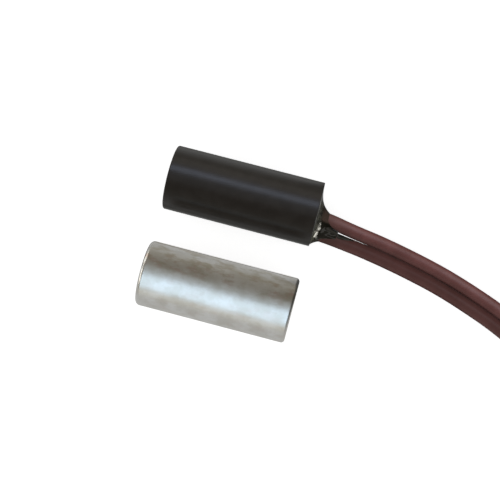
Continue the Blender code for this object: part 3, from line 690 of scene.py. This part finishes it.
def inner_route(side):
    """The stretch of one lead inside the potting."""
    start, level = (LEAD_A_START, LEAD_A_Y) if side > 0 else (LEAD_B_START, LEAD_B_Y)
    inner = Vector((FRONT_X + start, SWITCH_AXIS.y + level, SWITCH_AXIS.z))
    rim = square_pair(side)[0]
    reach = rim.x - inner.x
    route = [inner]
    if side < 0:
        route.append(inner + Vector((STRAIGHT_SHARE * reach, 0, 0)))
    route.append(inner + Vector((BEND_SHARE * reach, BEND_ACROSS_SHARE * (rim.y - inner.y), 0)))
    return route


def tail_route(side):
    """The last stretch of a lead: it leaves the top of the coil, comes down and lies on the floor."""
    turns = COIL_TURNS_IN + COIL_TURNS_OUT
    last = coil_point(turns, side)
    angle = COIL_START_ANGLE + 2 * math.pi * turns + math.pi / 2
    ahead = Vector((math.cos(angle), math.sin(angle), 0))
    inset = last.dot(ahead) - coil_point(turns, 1).dot(ahead)
    found = []
    for share in (0.5, 1.0):
        found.append(last + ahead * (share * TAIL_FLAT - inset))
    for share in (0.35, 0.65, 1.0):
        fall = Vector((0, 0, LEAD_DIAMETER * smooth_step(share)))
        found.append(last + ahead * (TAIL_FLAT + share * TAIL_FALL - inset) - fall)
    end = last + ahead * (TAIL_FLAT + TAIL_FALL + TAIL_END - inset)
    found.append(Vector((end.x, end.y, LEAD_RADIUS)))
    return found, ahead


def lead_line(side):
    """The whole centreline of one lead, and the way that its end points."""
    route = inner_route(side) + square_pair(side)
    total = COIL_TURNS_IN + COIL_TURNS_OUT
    count = round(total * COIL_STEPS_A_TURN)
    route += [coil_point(total * i / count, side) for i in range(count + 1)]
    tail, ahead = tail_route(side)
    return spaced(smooth_line(route + tail), LEAD_STEP), ahead


def lead_at(line, past_rim):
    """Where a lead's centreline is, from the switch axis, at a distance past the rim."""
    for near, far in zip(line, line[1:]):
        if far.x >= RIM_X + past_rim:
            break
    here = near.lerp(far, (RIM_X + past_rim - near.x) / (far.x - near.x))
    return here.y - SWITCH_AXIS.y, here.z - SWITCH_AXIS.z


def pair_at(lines, past_rim):
    """The middle of the two leads, from the switch axis, and half their spacing."""
    a_y, a_z = lead_at(lines[0], past_rim)
    b_y, b_z = lead_at(lines[1], past_rim)
    return (a_y + b_y) / 2, (a_z + b_z) / 2, (a_y - b_y) / 2


def to_outline(across, up, half, radius):
    """How far it is from the middle of two circles, side by side, to their common outline."""
    if abs(up) > 1e-9 and abs(across) * radius / abs(up) <= half:
        return radius / abs(up)
    return half * abs(across) + math.sqrt(max(radius**2 - (half * up) ** 2, 0.0))


def across_switch(past_rim, across, up):
    """A point from its distance past the rim and its place across the switch."""
    return (RIM_X + past_rim, SWITCH_AXIS.y + across, SWITCH_AXIS.z + up)


def plug_rings(turns, mouth):
    """The resin inside the housing, from its front wall to the edge of its mouth."""
    front = FRONT_X + HOUSING_FRONT_WALL + EPOXY_GAP
    wall = HOUSING_RADIUS - HOUSING_WALL - EPOXY_GAP
    plug = arc(front + BORE_CORNER, wall - BORE_CORNER, BORE_CORNER, 180, 90, 4)
    plug += [(RIM_X - MOUTH_DEPTH, wall), (RIM_X - EPOXY_GAP, mouth)]
    rings = []
    for x, r in plug:
        rings.append([across_switch(x - RIM_X, r * math.cos(a), r * math.sin(a)) for a in turns])
    return rings


def climb_height(across):
    """How high the resin climbs on the leads: high on the far side of lead A, low on lead B's."""
    low, high = CLIMB_SHARES
    grown = smooth_step((across - low) / (high - low))
    return MENISCUS_HEIGHT_B + grown * (MENISCUS_HEIGHT_A - MENISCUS_HEIGHT_B)


def meniscus_rings(rays, lines, edge):
    """The resin's surface, from the mouth up to the outline of the two leads."""
    _, _, half = pair_at(lines, 0.0)
    rings = []
    for i in range(MENISCUS_RINGS):
        share = (1 - (i + 1) / MENISCUS_RINGS) ** MENISCUS_CROWDING
        ring = []
        for across, up, far in rays:
            near = to_outline(across, up, half, edge)
            distance = share * (far - near)
            lowest = math.exp((near - far) / MENISCUS_REACH)
            climb = (math.exp(-distance / MENISCUS_REACH) - lowest) / (1 - lowest)
            rise = climb_height(across) * climb
            middle, level, _ = pair_at(lines, rise)
            out = near + distance
            ring.append(across_switch(rise, middle + out * across, level + out * up))
        rings.append(ring)
    return rings


def slid_turn(turn, cover_end):
    """An angle on a ring of the web, moved so that the same point of every ring lies on the web's edge."""
    covered = WEB_EDGES[0] - WEB_RISE[1]
    if turn <= WEB_RISE[1]:
        return turn
    if turn <= WEB_EDGES[0]:
        return WEB_RISE[1] + (turn - WEB_RISE[1]) * (cover_end - WEB_RISE[1]) / covered
    return cover_end + (turn - WEB_EDGES[0]) * (2 * math.pi - cover_end) / (2 * math.pi - WEB_EDGES[0])


def web_rings(rays, lines, edge):
    """The web: each ring follows the leads' outline over lead B and sinks into them elsewhere."""
    rings = []
    for i in range(WEB_RINGS):
        share = i / (WEB_RINGS - 1)
        depth = WEB_BOTTOM_DEPTH - (WEB_BOTTOM_DEPTH - WEB_TOP_DEPTH) * (1 - share) ** WEB_FALL_POWER
        cover_end = WEB_EDGES[0] + share * (WEB_EDGES[1] - WEB_EDGES[0])
        ring = []
        for across, up, _ in rays:
            start = climb_height(across) + WEB_STEP
            past = start + share * (WEB_REACH - start)
            middle, level, half = pair_at(lines, past)
            first_turn = math.atan2(up, across) % (2 * math.pi)
            cover = smooth_step((first_turn - WEB_RISE[0]) / (WEB_RISE[1] - WEB_RISE[0]))
            cover *= smooth_step((WEB_EDGES[0] - first_turn) / WEB_FALL)
            turn = slid_turn(first_turn, cover_end)
            y, z = math.cos(turn), math.sin(turn)
            out = to_outline(y, z, half, edge - depth * (1 - cover))
            ring.append(across_switch(past, middle + out * y, level + out * z))
        rings.append(ring)
    return rings


def run_rings(turns, lines):
    """The run of resin on lead B: a flat oval, half sunk in the lead, that thins out to its end."""
    thinnest = RUN_END_HALF_WIDTH / RUN_HALF_WIDTH
    rings = []
    for i in range(RUN_RINGS):
        share = i / (RUN_RINGS - 1)
        past = RUN_START + share * (RUN_REACH - RUN_START)
        y, z = lead_at(lines[1], past)
        thin = math.sqrt(1 - (1 - thinnest**2) * share**2)
        out = LEAD_RADIUS - RUN_SINK * thin
        height = RUN_SINK * thin + MENISCUS_FILM * (RUN_FILM_SHARE + (1 - RUN_FILM_SHARE) * thin)
        ring = []
        for turn in turns:
            rise = height * math.cos(turn - RUN_ANGLE)
            side = RUN_HALF_WIDTH * thin * math.sin(turn - RUN_ANGLE)
            across = y + (out + rise) * math.cos(RUN_ANGLE) - side * math.sin(RUN_ANGLE)
            up = z + (out + rise) * math.sin(RUN_ANGLE) + side * math.cos(RUN_ANGLE)
            ring.append(across_switch(past, across, up))
        rings.append(ring)
    return rings


def epoxy_rings(lines):
    """The plug in the housing, the meniscus that climbs the leads, the web between them and the run."""
    turns = [2 * math.pi * (i + 0.5) / BARREL_SIDES for i in range(BARREL_SIDES)]
    mouth = HOUSING_RADIUS - MOUTH_LIP - EPOXY_GAP / 4
    edge = LEAD_RADIUS + MENISCUS_FILM
    middle, level, _ = pair_at(lines, 0.0)
    rays = []
    for angle in turns:
        y, z = mouth * math.cos(angle) - middle, mouth * math.sin(angle) - level
        far = math.hypot(y, z)
        rays.append((y / far, z / far, far))
    return [
        *plug_rings(turns, mouth),
        *meniscus_rings(rays, lines, edge),
        *web_rings(rays, lines, edge),
        *run_rings(turns, lines),
    ]


def room_for(node, spare):
    """A cutter round a hidden piece: the tight skin over all its points, a little larger."""
    bm = bmesh.new()
    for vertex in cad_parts[node].data.vertices:
        bm.verts.new(vertex.co)
    bmesh.ops.convex_hull(bm, input=bm.verts)
    loose = [vertex for vertex in bm.verts if not vertex.link_faces]
    bmesh.ops.delete(bm, geom=loose, context="VERTS")
    bm.normal_update()
    for vertex in bm.verts:
        vertex.co += vertex.normal * spare
    return finish_mesh(node + "_room", bm)


def carve(target, cutters):
    """Cuts the cutters out of a mesh and removes them."""
    for cutter in cutters:
        modifier = target.modifiers.new("carve", "BOOLEAN")
        modifier.operation = "DIFFERENCE"
        modifier.solver = "EXACT"
        modifier.object = cutter
    bpy.context.view_layer.update()
    seen = target.evaluated_get(bpy.context.evaluated_depsgraph_get())
    carved = bpy.data.meshes.new_from_object(seen)
    target.modifiers.clear()
    target.data = carved
    carved.set_sharp_from_angle(angle=SHARP_ANGLE)
    for cutter in cutters:
        bpy.data.objects.remove(cutter)


def epoxy_fill(lead_lines):
    """The potting compound, with room for what it holds."""
    fill = skin("epoxy_fill", epoxy_rings(lead_lines))
    cutters = [room_for(node, EPOXY_GAP) for node in HIDDEN_NODES]
    for line in lead_lines:
        inside = [p for p in line if p.x < RIM_X + RUN_REACH + LEAD_DIAMETER]
        inside[0] = inside[0] - Vector((EPOXY_GAP, 0, 0))
        cutters.append(rod("lead_room", inside, LEAD_RADIUS + EPOXY_GAP / 2, LEAD_SIDES * 2))
    carve(fill, cutters)
    return fill


def dress(piece, finish, slot, *nodes):
    """Gives a new piece its finish and its body, and hides the nodes that it replaces. Its slot is not
    used.
    """
    piece.data.materials.clear()
    piece.data.materials.append(finish)
    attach(piece, "root")
    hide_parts(*nodes)
    return piece


def refinish(node, finish):
    """A better material on a CAD node that stays."""
    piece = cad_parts[node]
    piece.data.materials.clear()
    piece.data.materials.append(finish)


def add_camera():
    turn, rise = CAMERA_TURN, CAMERA_RISE
    right = Vector((math.cos(turn), math.sin(turn), 0))
    up = Vector((-math.sin(turn) * math.sin(rise), math.cos(turn) * math.sin(rise), math.cos(rise)))
    back = right.cross(up)
    middle = Vector((SWITCH_AXIS.x, 0, 0))
    eye = middle + CAMERA_RIGHT * right + CAMERA_UP * up + (AIM_HEIGHT * back.z + CAMERA_DISTANCE) * back
    data = bpy.data.cameras.new("camera")
    data.lens = CAMERA_LENS
    data.sensor_width = 36.0
    data.clip_start = 0.01
    data.clip_end = 10.0
    camera = bpy.data.objects.new("camera", data)
    camera.matrix_world = Matrix.Translation(eye) @ Matrix((right, up, back)).transposed().to_4x4()
    bpy.context.scene.collection.objects.link(camera)
    bpy.context.scene.camera = camera


def add_floor():
    """A white sheet: plain white to the camera but for a soft shadow, and in what shines an even grey,
    dimmer in the shade beside the black barrel, behind it and under the leads."""
    bm = bmesh.new()
    bmesh.ops.create_grid(bm, x_segments=1, y_segments=1, size=FLOOR_SIZE)
    floor = finish_mesh("floor", bm)
    look = Finish("white_sheet")
    seen = look.node("ShaderNodeLightPath", {}, {}, "Is Camera Ray")
    mirrored = look.node("ShaderNodeLightPath", {}, {}, "Is Glossy Ray")
    place = look.node("ShaderNodeTexCoord", {}, {}, "Object")
    across = look.part(place, "Y")
    past_rim = look.part(place, "X") - RIM_X
    bands = look.band(across, *BAND_BESIDE_SWITCH) + look.band(across, *BAND_BEHIND_SWITCH)
    under_leads = look.ease(past_rim, *LEADS_SHADE_PAST_RIM) * look.ease(across, *LEADS_SHADE_ACROSS)
    brightness = FLOOR_MIRRORED * (1.0 - BAND_SHADE * bands) * (1.0 - LEADS_SHADE * under_leads)
    sheet = look.node("ShaderNodeBsdfDiffuse", {}, {"Color": (0.8, 0.8, 0.8)})
    glow = look.node("ShaderNodeEmission", {}, {"Color": (1, 1, 1), "Strength": FLOOR_GLOW * seen})
    both = look.node("ShaderNodeAddShader", {}, {0: sheet, 1: glow})
    even = look.node("ShaderNodeEmission", {}, {"Color": (1, 1, 0.98), "Strength": brightness})
    shown = look.node("ShaderNodeMixShader", {}, {0: mirrored, 1: both, 2: even})
    look.node("ShaderNodeOutputMaterial", {}, {"Surface": shown})
    look.material.cycles.emission_sampling = "NONE"
    floor.data.materials.append(look.material)


def add_world():
    """White to the camera, daylight on the object that is brighter from the magnet's side, and in what
    shines a dimmer ceiling and a dark end of the room behind the leads."""
    world = bpy.data.worlds.new("studio")
    world.use_nodes = True
    world.cycles.sampling_method = "NONE"
    bpy.context.scene.world = world
    look = Finish("studio", world.node_tree)
    seen = look.node("ShaderNodeLightPath", {}, {}, "Is Camera Ray")
    mirrored = look.node("ShaderNodeLightPath", {}, {}, "Is Glossy Ray")
    ray = look.node("ShaderNodeTexCoord", {}, {}, "Generated")
    ceiling = look.ease(look.part(ray, "Z"), 0.0, 0.75)
    rear_end = look.ease(look.part(ray, "X"), 0.35, 0.75)
    switch_side = look.ease(look.part(ray, "Y"), -0.6, 0.6)
    round_about = look.mix((0.44, 0.42, 0.37), (0.235, 0.213, 0.178), ceiling)
    reflected = look.mix(round_about, (0.05, 0.047, 0.04), rear_end)
    daylight = look.mix((0.76, 0.76, 0.76), (0.24, 0.24, 0.24), switch_side)
    light = look.mix(daylight, reflected, mirrored)
    colour = look.mix(light, (1.0, 1.0, 1.0), seen)
    shader = look.node("ShaderNodeBackground", {}, {"Color": colour, "Strength": 1.0})
    look.node("ShaderNodeOutputWorld", {}, {"Surface": shader})


def add_lamp(name, place, turn, width, height, brightness, colour, receivers, blockers=None):
    """A soft rectangular light, for some pieces only, and in the shade of all pieces or of some."""
    data = bpy.data.lights.new(name, "AREA")
    data.shape = "RECTANGLE"
    data.size = width
    data.size_y = height
    data.color = colour
    data.energy = brightness * math.pi * width * height
    lamp = bpy.data.objects.new(name, data)
    lamp.location = place
    lamp.rotation_euler = turn
    bpy.context.scene.collection.objects.link(lamp)
    lamp.light_linking.receiver_collection = gathered(name + "_receivers", receivers)
    if blockers:
        lamp.light_linking.blocker_collection = gathered(name + "_blockers", blockers)


def gathered(name, pieces):
    """A collection of pieces, for light linking."""
    group = bpy.data.collections.new(name)
    for piece in pieces:
        group.objects.link(piece)
    return group


def add_window(name, lean, width, height, brightness, colour, receivers, blockers=None):
    """A window light along the barrels, which leans from straight up towards +Y by an angle."""
    angle = math.radians(lean)
    place = Vector((0, math.sin(angle), math.cos(angle))) * WINDOW_DISTANCE
    add_lamp(name, place, (-angle, 0, 0), width, height, brightness, colour, receivers, blockers)


def add_lights():
    """Windows that give each barrel and lead its own highlights, and the lamps at the two ends. A window
    has its lean in degrees, its width along the barrels, its height, brightness and colour, the pieces
    that it lights and, in one case, the only pieces that shade it."""
    add_window("magnet_window", -37, 0.36, 0.27, 1.53, (0.65, 0.83, 1.0), [magnet])
    add_window("magnet_high_window", 0, 0.36, 0.15, 0.28, (0.75, 0.90, 1.0), [magnet])
    add_window("magnet_low_window", -75, 0.36, 0.125, 0.42, (1.0, 1.0, 0.94), [magnet])
    add_window("switch_window", 22, 0.50, 0.085, 2.3, (0.68, 0.78, 1.0), [housing, lead_a])
    add_window("switch_high_window", -6, 0.50, 0.17, 0.22, (0.85, 0.92, 1.0), [housing])
    add_window("switch_fill", 51, 0.50, 0.16, 0.47, (1.0, 0.95, 0.86), [housing, epoxy, lead_a])
    add_window("lead_a_window", 44, 0.50, 0.25, 1.42, (1.0, 0.94, 0.92), [lead_a])
    add_window("lead_a_high_window", 6, 0.50, 0.08, 1.1, (1.0, 0.92, 0.90), [lead_a])
    add_window("lead_a_low_window", -85, 0.50, 0.16, 0.28, (1.0, 0.86, 0.82), [lead_a], [lead_a, housing])
    add_window("lead_b_window", 12, 0.50, 0.09, 1.25, (0.90, 0.95, 1.0), [lead_b])
    add_window("resin_window", 12, 0.20, 0.05, 0.9, (1.0, 0.97, 0.92), [epoxy])
    for name, direction, width, height, brightness in END_LAMPS:
        turn = direction.to_track_quat("Z", "Y").to_euler()
        place = direction * WINDOW_DISTANCE
        add_lamp(name, place, turn, width, height, brightness, END_LAMP_COLOUR, [magnet])
    turn = (0, math.radians(90), 0)
    for name, across, height, width, brightness in EXIT_LAMPS:
        place = (RIM_X + EXIT_LAMPS_PAST_RIM, SWITCH_AXIS.y + across, height)
        size = EXIT_LAMP_HEIGHT, width
        add_lamp(name, place, turn, *size, brightness, EXIT_LAMP_COLOUR, [epoxy], [housing])


add_camera()

# The leads
line_a, ahead_a = lead_line(1)
line_b, ahead_b = lead_line(-1)
pvc = brown_pvc()
tinned = tinned_copper()
lead_a = insulated_lead("lead_a_insulation", line_a)
lead_b = insulated_lead("lead_b_insulation", line_b)
strands_a = strand_bundle("lead_a_strands", line_a[-1], ahead_a)
strands_b = strand_bundle("lead_b_strands", line_b[-1], ahead_b)
dress(lead_a, pvc, "brown_pvc", "lead_a", "lead_a_tail", "lead_coil")
dress(lead_b, pvc, "brown_pvc", "lead_b", "lead_b_tail")
dress(strands_a, tinned, "tinned_copper", "lead_a_stripped_end")
dress(strands_b, tinned, "tinned_copper", "lead_b_stripped_end")

# The barrels
housing = dress(housing_shell(), moulded_black(), "black_plastic", "switch_housing")
epoxy = dress(epoxy_fill([line_a, line_b]), dark_epoxy(), "dark_epoxy", "potting_compound")
magnet = dress(magnet_rod(), magnet_alloy(), "magnet_metal", "magnet")

# What the resin holds
reeds = reed_metal()
solder = bright_solder()
refinish("glass_envelope", green_glass())
refinish("front_reed", reeds)
refinish("rear_reed", reeds)
refinish("front_solder_joint", solder)
refinish("rear_solder_joint", solder)
refinish("lead_a_core", tinned)
refinish("lead_b_core", tinned)

# The studio. The housing, the resin, the leads and the hidden pieces don't show in what others mirror
add_floor()
add_world()
add_lights()
for piece in (housing, epoxy, lead_a, lead_b, *(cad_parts[node] for node in HIDDEN_NODES)):
    piece.visible_glossy = False

bpy.context.scene.view_settings.view_transform = "Standard"
